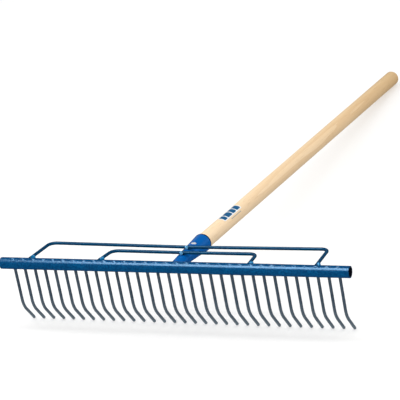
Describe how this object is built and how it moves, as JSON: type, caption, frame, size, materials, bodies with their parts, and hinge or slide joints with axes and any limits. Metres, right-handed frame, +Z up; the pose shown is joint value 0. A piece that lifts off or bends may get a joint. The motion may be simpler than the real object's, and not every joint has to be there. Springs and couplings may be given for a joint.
{
  "type": "hay rake",
  "caption": "Wide steel-headed hay rake: a painted tube with bent round tines, two rod braces and a tapered socket, on a straight round ash handle.",
  "frame": {"origin": "on the ground under the middle of the bounding box, the rake lying on its tine tips and on the butt of its handle", "axes": "+X along the head tube, +Y along the handle from the head to the butt, +Z up"},
  "size_m": [0.665, 1.2566, 0.1388],
  "materials": {
    "blue_paint": "blue stoved paint, satin, slightly grainy over the welds",
    "socket_paint": "the same blue paint, glossier on the smooth rolled sheet",
    "tine_steel": "dark drawn wire, lightly oiled, paler towards the tips",
    "ash_wood": "pale turned ash, sanded, thin clear coat, straight fine grain",
    "zinc": "bright zinc plate"
  },
  "bodies": {
    "root": {"head_tube": "blue_paint", "tine_01": "tine_steel", "tine_02": "tine_steel", "tine_03": "tine_steel", "tine_04": "tine_steel", "tine_05": "tine_steel", "tine_06": "tine_steel", "tine_07": "tine_steel", "tine_08": "tine_steel", "tine_09": "tine_steel", "tine_10": "tine_steel", "tine_11": "tine_steel", "tine_12": "tine_steel", "tine_13": "tine_steel", "tine_14": "tine_steel", "tine_15": "tine_steel", "tine_16": "tine_steel", "tine_17": "tine_steel", "tine_18": "tine_steel", "tine_19": "tine_steel", "tine_20": "tine_steel", "tine_21": "tine_steel", "tine_22": "tine_steel", "tine_23": "tine_steel", "tine_24": "tine_steel", "tine_25": "tine_steel", "tine_26": "tine_steel", "tine_27": "tine_steel", "tine_28": "tine_steel", "tine_29": "tine_steel", "tine_30": "tine_steel", "tine_31": "tine_steel", "tine_32": "tine_steel", "outer_brace": "blue_paint", "inner_brace": "blue_paint", "socket": "socket_paint", "handle": "ash_wood", "handle_screw": "zinc"}
  },
  "joints": []
}
